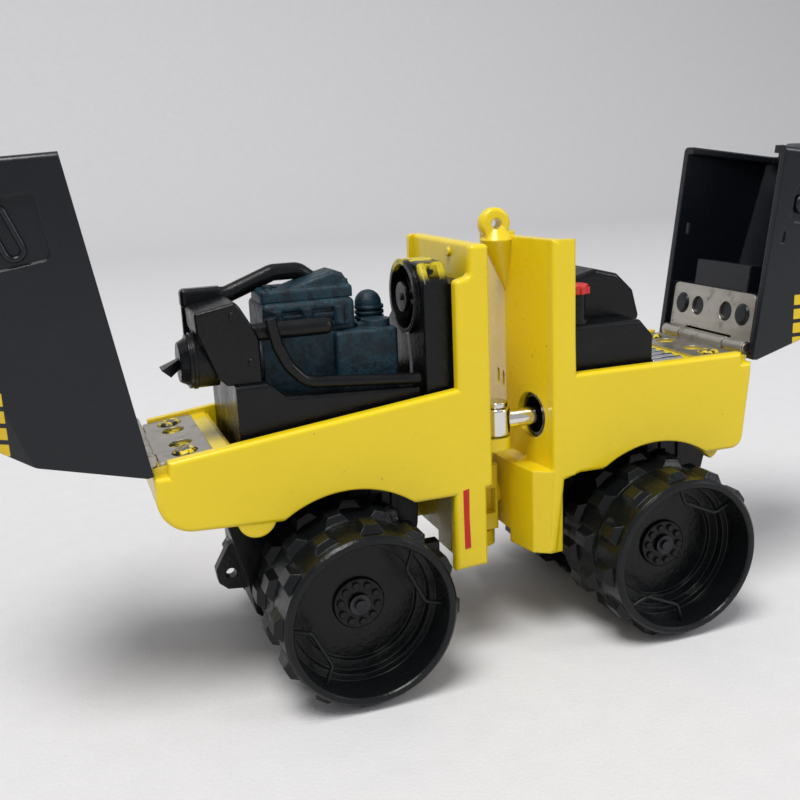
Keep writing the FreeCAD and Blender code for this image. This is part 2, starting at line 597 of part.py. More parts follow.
def hub():
    disc = cyl(HUB_R, (0, WEB_Y, 0), (0, 1, 0), HUB_T)
    disc = disc.makeFillet(0.2, [edge for edge in disc.Edges if edge.CenterOfMass.y > WEB_Y + HUB_T - 0.01])
    bolts = []
    for step in range(HUB_BOLTS):
        turn = 2 * math.pi * step / HUB_BOLTS
        x = 2.15 * math.cos(turn)
        z = 2.15 * math.sin(turn)
        bolts.append(cyl(0.42, (x, WEB_Y + HUB_T - 0.1, z), (0, 1, 0), 0.4))
    return fuse([disc] + bolts).cut(cyl(AXLE_R + RUN_CLEAR, (0, 0, 0), (0, 1, 0), 30))


def rod_loops():
    """Two bent bars inside the rim's mouth, on opposite sides of the hub."""
    wall_r = RIM_R - RIM_T + 0.1
    y = DRUM_OUT_Y - 1.6
    loops = []
    for side in (1, -1):
        foot = math.radians(27)
        feet = [(side * wall_r * math.cos(turn), y, wall_r * math.sin(turn)) for turn in (-foot, foot)]
        knees = [(side * 6.0, y + 0.1, height) for height in (-2.3, 2.3)]
        bar = tube([feet[0], knees[0], knees[1], feet[1]], LOOP_BAR_R, 0.8)
        rim = cyl(RIM_R - RIM_T, (0, 0, 0), (0, 1, 0), 30)
        loops.append(bar.common(rim))
    return Part.makeCompound([solid for loop in loops for solid in loop.Solids])


def axle():
    half = WEB_Y + HUB_T + 0.12
    shaft = cyl(AXLE_R, (0, -half, 0), (0, 1, 0), 2 * half)
    pieces = [shaft]
    for side in (1, -1):
        pieces.append(cyl(1.2, (0, side * half, 0), (0, side, 0), 0.35))
        pieces.append(cyl(0.65, (0, side * half, 0), (0, side, 0), 0.7))
    return fuse(pieces)


def on_axle(shape, side_x, side_y, phase):
    """Copies a +Y side piece to one of the four drum places and turns it by phase degrees."""
    placed = shape.copy() if side_y > 0 else mirror_y(shape)
    placed.rotate(Vector(0, 0, 0), Vector(0, -1, 0), phase)
    placed.translate(Vector(side_x * AXLE_X, 0, AXLE_Z))
    return placed


# ---------------------------------------------------------------- centre joint
def joint_block():
    block = box(-2.0, 2.0, -2.4, 2.4, BLOCK_LOW_Z, BLOCK_HIGH_Z)
    block = fillet(block, 0.4, lambda edge: along(edge, (0, 0, 1)))
    windows = both_sides(box(-0.9, 1.5, 1.2, 3.0, 14.3, 17.5))
    trunnion = cyl(TRUNNION_R, (1.5, 0, TRUNNION_Z), (1, 0, 0), SKIRT_FACE_X + 2.6 - 1.5 + 0.1)
    block = fuse([cut(block, windows), trunnion])
    return block.cut(cyl(STEER_PIN_R + RUN_CLEAR, (0, 0, 0), (0, 0, 1), 30))


def trunnion_washer():
    start = SKIRT_FACE_X + 2.6 + 0.1
    washer = cyl(2.5, (start, 0, TRUNNION_Z), (1, 0, 0), 0.6)
    head = cyl(1.3, (start + 0.6, 0, TRUNNION_Z), (1, 0, 0), 0.7)
    slot = box(start + 1.0, start + 2.0, -0.2, 0.2, TRUNNION_Z - 2, TRUNNION_Z + 2)
    return fuse([washer, head]).cut(slot)


def steering_pin():
    top = BLOCK_HIGH_Z + LUG_GAP + HIGH_LUG_T
    bottom = BLOCK_LOW_Z - LUG_GAP - LOW_LUG_T
    shank = cyl(STEER_PIN_R, (0, 0, bottom), (0, 0, 1), top - bottom)
    head = cyl(1.3, (0, 0, top), (0, 0, 1), 0.5)
    foot = cyl(1.2, (0, 0, bottom - 0.5), (0, 0, 1), 0.5)
    return fuse([shank, head, foot])


def piston_rod():
    ring = cyl(EYE_R, (ROD_PIN_X, ROD_PIN_Y, ROD_Z - EYE_H / 2), (0, 0, 1), EYE_H)
    ring = ring.makeFillet(0.3, [edge for edge in ring.Edges if edge.Curve.TypeId == "Part::GeomCircle"])
    rod = cyl(ROD_R, (ROD_PIN_X, ROD_PIN_Y, ROD_Z), (1, 0, 0), 9.2)
    shape = fuse([ring, rod])
    return shape.cut(cyl(STEER_PIN_R + RUN_CLEAR, (ROD_PIN_X, ROD_PIN_Y, 0), (0, 0, 1), 60))


def rod_pin():
    low = ROD_Z - EYE_H / 2 - 0.2 - LUG_T
    high = ROD_Z + EYE_H / 2 + 0.15
    shank = cyl(STEER_PIN_R, (ROD_PIN_X, ROD_PIN_Y, low), (0, 0, 1), high - low)
    head = cyl(1.4, (ROD_PIN_X, ROD_PIN_Y, high), (0, 0, 1), 0.6)
    head = head.makeFillet(0.2, [edge for edge in head.Edges if edge.CenterOfMass.z > high + 0.59])
    return fuse([shank, head])


def steering_barrel():
    outer = cyl(BARREL_R, (BARREL_X, BARREL_Y, ROD_Z), (1, 0, 0), BARREL_LENGTH)
    return outer.cut(cyl(BARREL_BORE_R, (BARREL_X - 1, BARREL_Y, ROD_Z), (1, 0, 0), BARREL_LENGTH))


# ---------------------------------------------------------------- hoods, built closed in the rim's frame
POCKET_DEPTH = 0.5
MOUTH_HALF_W = 8.0
MOUTH_DROP = 2.5


def hood_body(length, height, lean, inset, floor_v):
    """The hood's outer form shrunk by inset: crease and shoulder over a sloped end wall."""
    half = BODY_HALF_W - inset

    def section(u):
        crease = HOOD_CREASE_START + HOOD_CREASE_RISE * u - inset * 0.4
        top = height - inset
        shoulder = half - HOOD_SHOULDER * (top - crease)
        points = [(-half, floor_v), (half, floor_v), (half, crease), (shoulder, top), (-shoulder, top),
                  (-half, crease)]
        return Part.makePolygon([Vector(u, y, v) for y, v in points + points[:1]])

    body = Part.makeLoft([section(-3.0), section(length + 4.0)], True, True)
    start = -HOOD_END_OVERHANG + inset
    profile = [(start, floor_v), (start, 0.6), (start + 4.3, HOOD_CREASE_START + 0.2),
               (start + 4.3 + 0.7 * (height - HOOD_CREASE_START), height + 0.2),
               (length - inset + lean * (height + 0.2), height + 0.2),
               (length - inset + lean * floor_v, floor_v)]
    return body.common(prism_xz(profile, -half - 1, half + 1))


def hood_shell(length, height, lean, block_length, block_half_w, block_height):
    """lean tips the mouth end outwards, so that it stands upright when the hood is shut."""
    outer = hood_body(length, height, lean, 0.0, 0.0)
    outer = fillet(outer, 0.7, lambda edge: edge.CenterOfMass.z > 1.0 and edge.CenterOfMass.x > length - 0.01)
    inner = hood_body(length, height, lean, HOOD_WALL, -1.0)
    mouth = box(length - 2, length + 4, -MOUTH_HALF_W, MOUTH_HALF_W, -1, height - MOUTH_DROP)
    knuckle_room = box(-3, KNUCKLE_R + 0.2, -INNER_HALF_W, INNER_HALF_W, -1, KNUCKLE_R + 0.2)
    shell = cut(outer, [inner, mouth, knuckle_room])
    room = hood_body(length, height, lean, 0.3, 0.0)
    block_v = KNUCKLE_R
    wide = INNER_HALF_W + 0.6
    block = fuse([
        box(1.0, LEAF_LENGTH, -wide, wide, block_v, block_v + block_height),
        box(LEAF_LENGTH - 1, block_length, -block_half_w, block_half_w,
            block_v + 0.5, block_v + block_height),
        box(-0.6, 1.2, -wide, wide, block_v + 1.0, block_v + block_height),
    ]).common(room)
    studs = stakes(block_v, -1)
    return fuse([shell, block] + studs)


def pocket_profile(u0, u1, v0, v1):
    lip = 0.5
    return [(u0 + lip, v0), (u1 - lip, v0), (u1, v0 + lip), (u1, v1 - lip), (u1 - lip, v1), (u0 + lip, v1),
            (u0, v1 - lip), (u0, v0 + lip)]


def side_pockets(profile):
    near = prism_xz(profile, -BODY_HALF_W - 1, -BODY_HALF_W + POCKET_DEPTH)
    return [near, mirror_y(near)]


def engine_hood():
    lean = math.tan(ENGINE_SLOPE)
    shell = hood_shell(ENGINE_HOOD_LENGTH, ENGINE_HOOD_HEIGHT, lean, LEAF_LENGTH + 0.1, 5.4, 1.9)
    return cut(shell, side_pockets(pocket_profile(22.1, 28.4, 3.2, 10.4)))


def tank_hood():
    length = TANK_HOOD_LENGTH
    shell = hood_shell(length, TANK_HOOD_HEIGHT, 0.0, 10.0, 5.4, 3.6)
    cowl = prism_xz([(length - 0.9, 11.4), (length + 1.1, 11.4), (length + 1.7, 12.4),
                     (length + 1.9, TANK_HOOD_HEIGHT), (length - 0.9, TANK_HOOD_HEIGHT)], -4.8, 4.8)
    cowl = fillet(cowl, 0.5, lambda edge: edge.CenterOfMass.x > length + 1.0)
    shell = fuse([shell, cowl])
    slots = both_sides(box(13.2, 14.6, BODY_HALF_W - 2, BODY_HALF_W + 1, 1.4, 1.9))
    return cut(shell, side_pockets(pocket_profile(15.8, 20.2, 2.4, 8.8)) + slots)


def grab_handles(u, v, lean):
    """An oval ring of round bar that lies in each side pocket."""
    bar = 0.32
    reach = 1.7
    y = -BODY_HALF_W + POCKET_DEPTH - bar
    ring = []
    for side in (1, -1):
        ring.append(cyl(bar, (-reach, y, side * 0.85), (1, 0, 0), 2 * reach))
        arc = Part.makeTorus(0.85, bar, Vector(side * reach, y, 0), Vector(0, 1, 0))
        half_space = box(0, 4, y - 2, y + 2, -4, 4)
        half_space.translate(Vector(reach if side > 0 else -reach - 4, 0, 0))
        ring.append(arc.common(half_space))
    near = fuse(ring)
    near.rotate(Vector(0, 0, 0), Vector(0, -1, 0), lean)
    near.translate(Vector(u, 0, v))
    near = near.common(box(-50, 50, -BODY_HALF_W - 2, -BODY_HALF_W + POCKET_DEPTH, -50, 50))
    return Part.makeCompound([near, mirror_y(near)])


def hood_strut():
    y = -BODY_HALF_W + HOOD_WALL + 0.6
    strut = tube([(23.2, y, 2.2), (22.4, y, 2.6), (13.4, y + 1.0, 8.4)], 0.5, 0.6)
    feet = [box(22.4, 23.6, -BODY_HALF_W + HOOD_WALL, y + 0.8, 1.5, 2.9),
            box(12.7, 14.0, -BODY_HALF_W + HOOD_WALL, y + 1.4, 7.6, 9.2)]
    return fuse([strut] + feet)


# ---------------------------------------------------------------- engine pieces
PLATE_TOP_Z = 35.2
BAY_Z = 31.6
CASE_TOP_Z = 39.4


def engine_base():
    low = FLOOR_Z
    outline = [(-30.3, low), (-30.3, PLATE_TOP_Z), (-27.0, PLATE_TOP_Z), (-25.2, 33.6), (-9.9, 32.9),
               (-9.9, low)]
    tray = prism_xz(outline, -MOUTH_HALF_W + 0.3, MOUTH_HALF_W - 0.3)
    tray = fillet(tray, 0.5, lambda edge: along(edge, (1, 0, 0), 0.05) and edge.CenterOfMass.z > 33)
    return tray.cut(box(-26.6, -9.0, -5.6, 5.4, BAY_Z, PLATE_TOP_Z + 1))


def crankcase():
    block = box(-18.5, -11.2, -5.1, 4.8, BAY_Z, CASE_TOP_Z)
    block = fillet(block, 0.5, lambda edge: edge.CenterOfMass.z > BAY_Z + 0.1)
    rear = box(-26.4, -18.4, -4.0, 4.8, BAY_Z, CASE_TOP_Z)
    flange = cyl(1.6, (-13.2, -3.1, CASE_TOP_Z - 0.2), (0, 0, 1), 1.0)
    arm = box(-15.5, -13.2, -3.8, -2.4, CASE_TOP_Z - 0.2, CASE_TOP_Z + 0.5)
    return fuse([block, rear, flange, arm])


def rocker_cover():
    cover = box(-26.0, -15.6, -3.6, 4.6, CASE_TOP_Z, 42.9)
    cover = fillet(cover, 0.7, lambda edge: edge.CenterOfMass.z > CASE_TOP_Z + 0.1)
    ribs = [box(-25.0, -16.6, -3.9, -3.4, z, z + 0.5) for z in (40.0, 41.0, 42.0)]
    lugs = [cyl(0.65, (x, -3.9, CASE_TOP_Z + 0.8), (0, 0, 1), 2.0) for x in (-24.6, -21.2, -17.6)]
    return fuse([cover] + ribs + lugs)


def intake_casting():
    runner = box(-26.0, -15.6, -3.0, 2.6, 42.9, 44.3)
    runner = fillet(runner, 0.5, lambda edge: edge.CenterOfMass.z > 43)
    hump = prism_xz([(-23.0, 43.4), (-23.0, 44.2), (-19.4, 45.3), (-17.4, 45.8), (-16.5, 45.5), (-15.8, 44.4),
                     (-15.8, 43.4)], -2.4, 2.2)
    hump = fillet(hump, 0.5, lambda edge: edge.CenterOfMass.z > 44.4 and not along(edge, (0, 1, 0)))
    bolts = [cyl(0.5, (x, y, 44.2), (0, 0, 1), 0.6) for x in (-25.0, -16.4) for y in (-2.0, 1.8)]
    return fuse([runner, hump] + bolts).cut(box(-25.4, -23.7, -1.2, 0.8, 43.5, 46))


def oil_filler():
    neck = cyl(1.5, (-12.7, 0.6, CASE_TOP_Z), (0, 0, 1), 1.9)
    rings = [cyl(1.7, (-12.7, 0.6, CASE_TOP_Z + 0.25 + step * 0.6), (0, 0, 1), 0.35) for step in range(3)]
    return fuse([neck, Part.makeSphere(1.55, Vector(-12.8, 0.6, 41.45))] + rings)


def air_box():
    outline = [(-31.0, PLATE_TOP_Z), (-31.9, 36.1), (-33.7, 41.0), (-33.8, 43.1), (-29.5, 43.9),
               (-29.0, 43.3), (-27.5, 40.6), (-27.2, 39.8), (-27.2, PLATE_TOP_Z)]
    shell = prism_xz(outline, -6.8, 0.1)
    shell = fillet(shell, 0.4, lambda edge: edge.CenterOfMass.z > 35.5)
    bosses = [cyl(0.5, (-29.8, -7.0, 42.4), (0, 1, 0), 1.0), cyl(0.45, (-28.2, -7.0, 37.4), (0, 1, 0), 1.0)]
    return fuse([shell] + bosses)


FILTER_X = -33.4
FILTER_Y = -3.2
FILTER_Z = 37.6


def air_filter():
    body = cyl(2.9, (FILTER_X + 2.0, FILTER_Y, FILTER_Z), (-1, 0, 0), 3.1)
    cap = Part.makeCone(2.6, 2.1, 0.9, Vector(FILTER_X - 1.1, FILTER_Y, FILTER_Z), Vector(-1, 0, 0))
    band = cyl(3.05, (FILTER_X - 0.3, FILTER_Y, FILTER_Z), (-1, 0, 0), 0.4)
    room = box(-31.3, -25, -10, 5, 30, 45)
    return fuse([body, cap, band]).cut(air_box()).cut(room).cut(box(-40, -20, -10, 5, 30, PLATE_TOP_Z - 0.4))


def filter_spout():
    start = FILTER_X - 2.0
    mouth = []
    for x, half, z in ((start, 0.5, FILTER_Z - 0.7), (start - 1.0, 1.2, FILTER_Z - 1.3)):
        rise = 1.1 if half < 1.0 else 0.8
        back = 0.0 if half < 1.0 else 0.9
        corners = [Vector(x, FILTER_Y - half, z), Vector(x, FILTER_Y + half, z),
                   Vector(x - back, FILTER_Y + half, z + rise), Vector(x - back, FILTER_Y - half, z + rise)]
        mouth.append(Part.makePolygon(corners + corners[:1]))
    return Part.makeLoft(mouth, True, True)


def top_hose():
    radius = 0.95
    path = [(-30.4, 1.0, 43.75), (-29.0, 1.0, 43.75), (-23.6, 1.7, 45.7), (-20.6, 1.8, 45.7),
            (-18.9, 1.8, 44.4)]
    hose = tube(path, radius, 1.6)
    boot = box(-34.1, -29.8, 1.0 - radius, 1.0 + radius, 42.7, 44.8)
    boot = fillet(boot, 0.5, lambda edge: edge.CenterOfMass.x < -29.9)
    leg = cyl(radius, (-33.1, 1.0, 38.8), (0, 0, 1), 4.6)
    return cut(fuse([hose, boot, leg]), [intake_casting(), air_box()])


def hose_stub():
    bar = cyl(0.95, (-28.4, -5.65, 40.4), (1, 0, 0), 8.6)
    return fuse([bar, Part.makeSphere(0.95, Vector(-19.8, -5.65, 40.4))]).cut(air_box())


def u_pipe():
    y = -7.3
    path = [(-26.1, y, 42.0), (-25.5, y, 39.0), (-24.4, y, 36.7), (-22.6, y, 34.8), (-9.8, y, 33.7)]
    return tube(path, 0.65, 2.5)


SHROUD_X0 = -9.1
FAN_ROOM = 2.5


def fan_shroud():
    low = FLOOR_Z + 3.4
    half = MOUTH_HALF_W - 0.1
    outline = [(-half, low), (half, low), (half, 36.6), (half - 2.6, 38.4), (FAN_Y + 4.0, FAN_Z - 1.0),
               (FAN_Y + 4.0, FAN_Z), (FAN_Y + 2.5, FAN_Z + 3.2), (FAN_Y, FAN_Z + 4.1), (-6.3, FAN_Z + 4.1),
               (-half, FAN_Z + 1.9)]
    shell = prism_yz(outline, SHROUD_X0, ENGINE_COLUMN_X)
    spigot = prism_yz(outline, ENGINE_COLUMN_X - 0.2, ENGINE_FACE_X - 1.6)
    shell = fillet(shell, 0.4, lambda edge: abs(edge.CenterOfMass.x - SHROUD_X0) < 0.01)
    ring = cyl(4.3, (SHROUD_X0 - 0.5, FAN_Y, FAN_Z), (1, 0, 0), ENGINE_COLUMN_X - SHROUD_X0 + 0.5)
    core = cyl(3.7, (SHROUD_X0 - 1, FAN_Y, FAN_Z), (1, 0, 0), 1.0 + FAN_ROOM)
    socket = box(-8.3, -7.0, -7.5, -6.5, FAN_Z + 1.6, FAN_Z + 5.0)
    spigot = spigot.common(box(-20, 0, -half, half, low, COLUMN_TOP_Z - 4.2))
    return cut(fuse([shell, ring, spigot]), [core, socket])


FAN_Y = -2.2
FAN_Z = 42.2
FAN_BLADES = 8


def cooling_fan():
    shaft = cyl(0.4, (SHROUD_X0 - 0.8, FAN_Y, FAN_Z), (1, 0, 0), 0.8 + FAN_ROOM)
    boss = cyl(1.0, (SHROUD_X0 + 0.8, FAN_Y, FAN_Z), (1, 0, 0), 1.2)
    pulley = cyl(1.7, (SHROUD_X0 - 0.6, FAN_Y, FAN_Z), (1, 0, 0), 0.35)
    blades = []
    for step in range(FAN_BLADES):
        blade = box(-0.16, 0.16, 0.5, 3.5, -0.55, 0.55)
        blade.rotate(Vector(0, 0, 0), Vector(0, 1, 0), 55)
        blade.rotate(Vector(0, 0, 0), Vector(1, 0, 0), step * 360.0 / FAN_BLADES)
        blade.translate(Vector(SHROUD_X0 + 1.4, FAN_Y, FAN_Z))
        blades.append(blade)
    return fuse([shaft, boss, pulley] + blades)


def dipstick():
    return tube([(-10.2, -6.1, 32.93), (-10.2, -6.1, 35.4), (-10.7, -6.6, 38.8)], 0.2, 0.6)


# ---------------------------------------------------------------- tank pieces
TANK_BOX_TOP = 37.6


def tank_box():
    outline = [(9.2, FLOOR_Z), (9.2, TANK_BOX_TOP), (18.6, TANK_BOX_TOP), (20.2, TANK_BOX_TOP - 1.8),
               (20.2, FLOOR_Z)]
    body = prism_xz(outline, -MOUTH_HALF_W + 0.4, MOUTH_HALF_W - 0.4)
    body = fillet(body, 0.5, lambda edge: edge.CenterOfMass.z > TANK_BOX_TOP - 1.9)
    channel = cyl(BARREL_R + 0.4, (8, BARREL_Y, ROD_Z), (1, 0, 0), BARREL_LENGTH - 1.0)
    cradle_room = box(8, BARREL_X + BARREL_LENGTH - 0.2, BARREL_Y - 2.2, BARREL_Y + 2.2, FLOOR_Z - 1, ROD_Z)
    return cut(body, [channel, cradle_room])


def reservoir():
    """A faceted dome that lies across the tank box."""
    facets = 12
    radius = 6.1
    points = []
    for step in range(facets // 2 + 1):
        turn = math.pi * step / (facets // 2)
        points.append((15.0 + radius * math.cos(turn), TANK_BOX_TOP + (radius - 0.2) * math.sin(turn)))
    foot = [(15.0 - radius + 0.6, TANK_BOX_TOP - 1.0), (15.0 + radius - 0.6, TANK_BOX_TOP - 1.0)]
    dome = prism_xz(points + foot, -3.4, 6.6)
    dome = fillet(dome, 0.6, lambda edge: edge.CenterOfMass.z > TANK_BOX_TOP + 0.1)
    return dome.cut(tank_box())


CAP_X = 10.9
CAP_Y = -5.6


def filler_neck():
    return fuse([cyl(1.2, (CAP_X, CAP_Y, TANK_BOX_TOP), (0, 0, 1), 3.6),
                 cyl(1.5, (CAP_X, CAP_Y, TANK_BOX_TOP), (0, 0, 1), 0.5)])


def filler_cap():
    cap = cyl(1.5, (CAP_X, CAP_Y, TANK_BOX_TOP + 3.6), (0, 0, 1), 1.1)
    cap = cap.makeFillet(0.25, [edge for edge in cap.Edges if edge.CenterOfMass.z > TANK_BOX_TOP + 4.6])
    grips = []
    for step in range(8):
        turn = math.pi * step / 4
        grip_x = CAP_X + 1.5 * math.cos(turn)
        grip_y = CAP_Y + 1.5 * math.sin(turn)
        grips.append(cyl(0.22, (grip_x, grip_y, TANK_BOX_TOP + 3.6), (0, 0, 1), 0.8))
    return fuse([cap] + grips)


def cooler():
    base = box(20.9, 25.1, -7.4, 5.6, FLOOR_Z, 31.6)
    ribs = [cyl(0.75, (20.9, -6.4 + step * 1.85, 31.6), (1, 0, 0), 4.2) for step in range(7)]
    return fuse([base] + ribs)


# ---------------------------------------------------------------- build
def build():
    engine_open = ENGINE_RIM_SLOPE + ENGINE_HOOD_OPEN
    save("engine_frame", engine_frame())
    save("tank_frame", tank_frame())
    housing = drive_housing()
    screws = housing_screws()
    save("engine_housing", housing)
    save("tank_housing", mirror_x(housing))
    save("engine_housing_screws", screws)
    save("tank_housing_screws", mirror_x(screws))
    for name, side in (("engine", -1), ("tank", 1)):
        save(name + "_axle", on_axle(axle(), side, 1, 0))

    phases = {("engine", "right"): 26.0, ("engine", "left"): 71.0,
              ("tank", "right"): 66.0, ("tank", "left"): 12.0}
    pieces = {"drum": drum(), "hub": hub(), "loops": rod_loops()}
    for (half, hand), phase in phases.items():
        side_x = -1 if half == "engine" else 1
        side_y = -1 if hand == "right" else 1
        for kind, shape in pieces.items():
            save(half + "_" + hand + "_" + kind, on_axle(shape, side_x, side_y, phase))

    save("joint_block", joint_block())
    save("trunnion_washer", trunnion_washer())
    save("steering_pin", steering_pin())
    save("piston_rod", piston_rod())
    save("rod_pin", rod_pin())
    save("steering_barrel", steering_barrel())

    for name, shape in (("engine_base", engine_base()), ("crankcase", crankcase()),
                        ("rocker_cover", rocker_cover()), ("intake_casting", intake_casting()),
                        ("oil_filler", oil_filler()), ("air_box", air_box()), ("air_filter", air_filter()),
                        ("filter_spout", filter_spout()), ("top_hose", top_hose()),
                        ("hose_stub", hose_stub()), ("u_pipe", u_pipe()),
                        ("fan_shroud", fan_shroud()), ("cooling_fan", cooling_fan()),
                        ("dipstick", dipstick()), ("tank_box", tank_box()), ("reservoir", reservoir()),
                        ("filler_neck", filler_neck()), ("filler_cap", filler_cap()), ("cooler", cooler())):
        save(name, shape)

    save("engine_hinge_body_leaf", place_engine(body_leaf(), ENGINE_RIM_SLOPE))
    save("tank_hinge_body_leaf", place_tank(body_leaf(), 0))
    for name, shape in (("hinge_hood_leaf", hood_leaf()), ("hinge_pin", hinge_pin())):
        save("engine_" + name, place_engine(shape, engine_open))
        save("tank_" + name, place_tank(shape, TANK_HOOD_OPEN))
    save("engine_hood", place_engine(engine_hood(), engine_open))
    save("engine_hood_handles", place_engine(grab_handles(25.3, 6.6, 12.0), engine_open))
    save("tank_hood", place_tank(tank_hood(), TANK_HOOD_OPEN))
    save("tank_hood_handles", place_tank(grab_handles(18.0, 5.6, -90.0), TANK_HOOD_OPEN))
    save("tank_hood_strut", place_tank(hood_strut(), TANK_HOOD_OPEN))


build()
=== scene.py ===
import json
import math

import bmesh
import bpy
from mathutils import Matrix, Vector


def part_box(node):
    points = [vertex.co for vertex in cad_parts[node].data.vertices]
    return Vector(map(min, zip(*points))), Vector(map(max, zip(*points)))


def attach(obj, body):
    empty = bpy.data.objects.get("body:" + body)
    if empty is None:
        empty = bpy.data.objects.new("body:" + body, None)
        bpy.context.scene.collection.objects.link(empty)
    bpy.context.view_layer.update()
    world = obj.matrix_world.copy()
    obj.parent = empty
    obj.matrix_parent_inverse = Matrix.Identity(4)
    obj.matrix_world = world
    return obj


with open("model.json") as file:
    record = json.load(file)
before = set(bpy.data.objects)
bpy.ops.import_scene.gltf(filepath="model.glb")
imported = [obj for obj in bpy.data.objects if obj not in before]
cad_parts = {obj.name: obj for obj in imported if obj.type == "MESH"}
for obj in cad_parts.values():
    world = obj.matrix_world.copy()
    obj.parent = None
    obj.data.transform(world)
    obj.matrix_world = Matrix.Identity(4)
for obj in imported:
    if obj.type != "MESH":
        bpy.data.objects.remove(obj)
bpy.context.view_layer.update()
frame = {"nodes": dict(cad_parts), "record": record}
NODES = frame["nodes"]
MM = 0.001
X, Y, Z = range(3)
OVERSPRAY_DEPTH = 2.2 * MM
MARK_PROUD = 0.03 * MM
STRIPE_WIDTH = 0.75 * MM
STRIPE_LENGTH = 7.0 * MM
STRIPE_FROM_BLOCK = 4.0 * MM
STRIPE_BELOW_HOUSING = 2.6 * MM
LABEL_LENGTH = 2.6 * MM
LABEL_BLOCK = 1.25 * MM
LABEL_PITCH = 1.75 * MM
LABEL_ROWS = 4


# ---------------------------------------------------------------- node helpers
class Look:
    """A node material with a Principled shader and short calls for procedural patterns."""

    def __init__(self, name, roughness=0.5, metallic=0.0, coat=0.0, coat_roughness=0.1, specular=0.5):
        self.material = bpy.data.materials.new(name)
        self.material.use_nodes = True
        self.tree = self.material.node_tree
        self.shader = next(n for n in self.tree.nodes if n.type == "BSDF_PRINCIPLED")
        self.shader.inputs["Roughness"].default_value = roughness
        self.shader.inputs["Metallic"].default_value = metallic
        self.shader.inputs["Coat Weight"].default_value = coat
        self.shader.inputs["Coat Roughness"].default_value = coat_roughness
        self.shader.inputs["Specular IOR Level"].default_value = specular
        self.place = self.add("ShaderNodeTexCoord").outputs["Object"]

    def add(self, kind, **values):
        node = self.tree.nodes.new(kind)
        for key, value in values.items():
            setattr(node, key, value)
        return node

    def link(self, source, target):
        self.tree.links.new(source, target)

    def stretched(self, scale):
        mapping = self.add("ShaderNodeMapping")
        mapping.inputs["Scale"].default_value = scale
        self.link(self.place, mapping.inputs["Vector"])
        return mapping.outputs["Vector"]

    def noise(self, scale, detail=4.0, roughness=0.5, stretch=None):
        node = self.add("ShaderNodeTexNoise")
        node.inputs["Scale"].default_value = scale
        node.inputs["Detail"].default_value = detail
        node.inputs["Roughness"].default_value = roughness
        self.link(self.stretched(stretch) if stretch else self.place, node.inputs["Vector"])
        return node.outputs["Fac"]

    def steps(self, value, low, high, inverted=False):
        """0 below low, 1 above high, smooth between them."""
        node = self.add("ShaderNodeMapRange")
        node.interpolation_type = "SMOOTHSTEP"
        node.inputs["From Min"].default_value = low
        node.inputs["From Max"].default_value = high
        node.inputs["To Min"].default_value = 1.0 if inverted else 0.0
        node.inputs["To Max"].default_value = 0.0 if inverted else 1.0
        self.link(value, node.inputs["Value"])
        return node.outputs["Result"]

    def spread(self, value, low, high):
        node = self.add("ShaderNodeMapRange")
        node.inputs["From Min"].default_value = 0.3
        node.inputs["From Max"].default_value = 0.7
        node.inputs["To Min"].default_value = low
        node.inputs["To Max"].default_value = high
        self.link(value, node.inputs["Value"])
        return node.outputs["Result"]

    def math(self, operation, a, b):
        node = self.add("ShaderNodeMath", operation=operation)
        for socket, value in zip(node.inputs, (a, b)):
            if isinstance(value, (int, float)):
                socket.default_value = value
            else:
                self.link(value, socket)
        return node.outputs[0]

    def mix(self, factor, first, second):
        node = self.add("ShaderNodeMix", data_type="RGBA")
        sockets = [s for s in node.inputs if s.type == "RGBA"]
        for socket, value in zip(sockets, (first, second)):
            if isinstance(value, tuple):
                socket.default_value = (*value, 1.0)
            else:
                self.link(value, socket)
        factor_socket = node.inputs[0]
        if isinstance(factor, (int, float)):
            factor_socket.default_value = factor
        else:
            self.link(factor, factor_socket)
        return next(s for s in node.outputs if s.type == "RGBA")

    def edges(self, radius, low=0.02, high=0.25):
        """1 along outer and inner edges closer than radius, 0 on the flats."""
        bevel = self.add("ShaderNodeBevel", samples=4)
        bevel.inputs["Radius"].default_value = radius
        geometry = self.add("ShaderNodeNewGeometry")
        dot = self.add("ShaderNodeVectorMath", operation="DOT_PRODUCT")
        self.link(bevel.outputs["Normal"], dot.inputs[0])
        self.link(geometry.outputs["Normal"], dot.inputs[1])
        return self.steps(self.math("SUBTRACT", 1.0, dot.outputs["Value"]), low, high)

    def axis(self, index):
        """One coordinate of the rest position, in metres."""
        node = self.add("ShaderNodeSeparateXYZ")
        self.link(self.place, node.inputs[0])
        return node.outputs[index]

    def between(self, index, low, high):
        """1 where that coordinate lies between low and high."""
        soft = 0.04 * MM
        above = self.steps(self.axis(index), low - soft, low + soft)
        below = self.steps(self.axis(index), high - soft, high + soft, inverted=True)
        return self.math("MULTIPLY", above, below)

    def outward(self):
        """1 on faces that look away from the middle plane y = 0."""
        facing = self.add("ShaderNodeSeparateXYZ")
        self.link(self.tree.nodes["Texture Coordinate"].outputs["Normal"], facing.inputs[0])
        return self.steps(self.math("MULTIPLY", facing.outputs[Y], self.axis(Y)), 0.0, MM)

    def colour(self, value):
        self.link(value, self.shader.inputs["Base Color"])

    def rough(self, value):
        self.link(value, self.shader.inputs["Roughness"])

    def bump(self, height, distance, strength=1.0, rounded=0.0):
        node = self.add("ShaderNodeBump")
        node.inputs["Strength"].default_value = strength
        node.inputs["Distance"].default_value = distance
        self.link(height, node.inputs["Height"])
        if rounded:
            bevel = self.add("ShaderNodeBevel", samples=6)
            bevel.inputs["Radius"].default_value = rounded
            self.link(bevel.outputs["Normal"], node.inputs["Normal"])
        self.link(node.outputs["Normal"], self.shader.inputs["Normal"])


